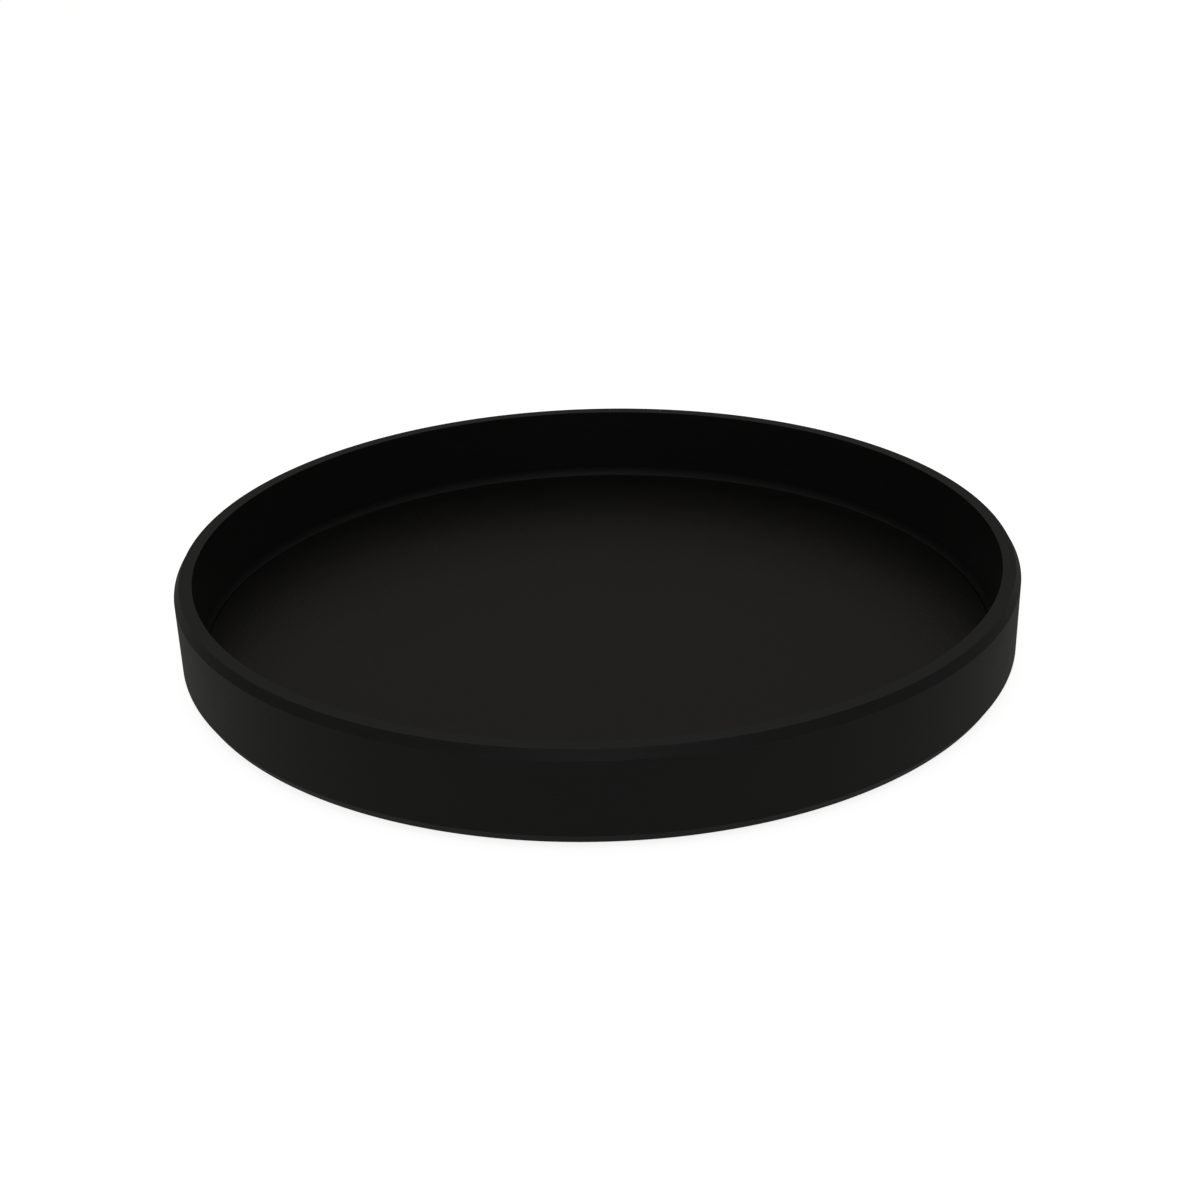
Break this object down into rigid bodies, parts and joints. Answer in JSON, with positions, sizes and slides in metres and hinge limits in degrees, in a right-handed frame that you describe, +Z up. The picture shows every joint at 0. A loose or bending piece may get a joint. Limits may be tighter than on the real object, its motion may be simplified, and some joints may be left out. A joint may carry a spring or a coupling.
{
  "type": "serving tray",
  "caption": "Round black serving tray with an upright bevelled rim, a coved inside corner, a lift-out non-slip mat and low rubber feet.",
  "frame": {"origin": "centre of the tray, on the table that its feet stand on", "axes": "+Z up out of the tray's well, along its centre line; +X and +Y lie in the table's plane, with two feet 30 degrees either side of +X"},
  "size_m": [0.38, 0.38, 0.0415],
  "materials": {
    "rim_lacquer": "satin black lacquer over bent birch plies",
    "base_lacquer": "thin satin black lacquer over birch plywood",
    "mat_rubber": "fine satin, slightly grained non-slip surface",
    "foot_rubber": "matt moulded rubber"
  },
  "bodies": {
    "tray": {"rim_ply_inner": "rim_lacquer", "rim_ply_second": "rim_lacquer", "rim_ply_third": "rim_lacquer", "rim_ply_outer": "rim_lacquer", "cove_bead": "rim_lacquer", "base_panel": "base_lacquer", "foot_1": "foot_rubber", "foot_2": "foot_rubber", "foot_3": "foot_rubber", "foot_4": "foot_rubber", "foot_5": "foot_rubber", "foot_6": "foot_rubber"},
    "mat": {"non_slip_mat": "mat_rubber"}
  },
  "joints": [
    {"name": "mat_lift", "type": "slide", "parent": "tray", "child": "mat", "axis": [0, 0, 1], "range_m": [0, 0.06]}
  ]
}
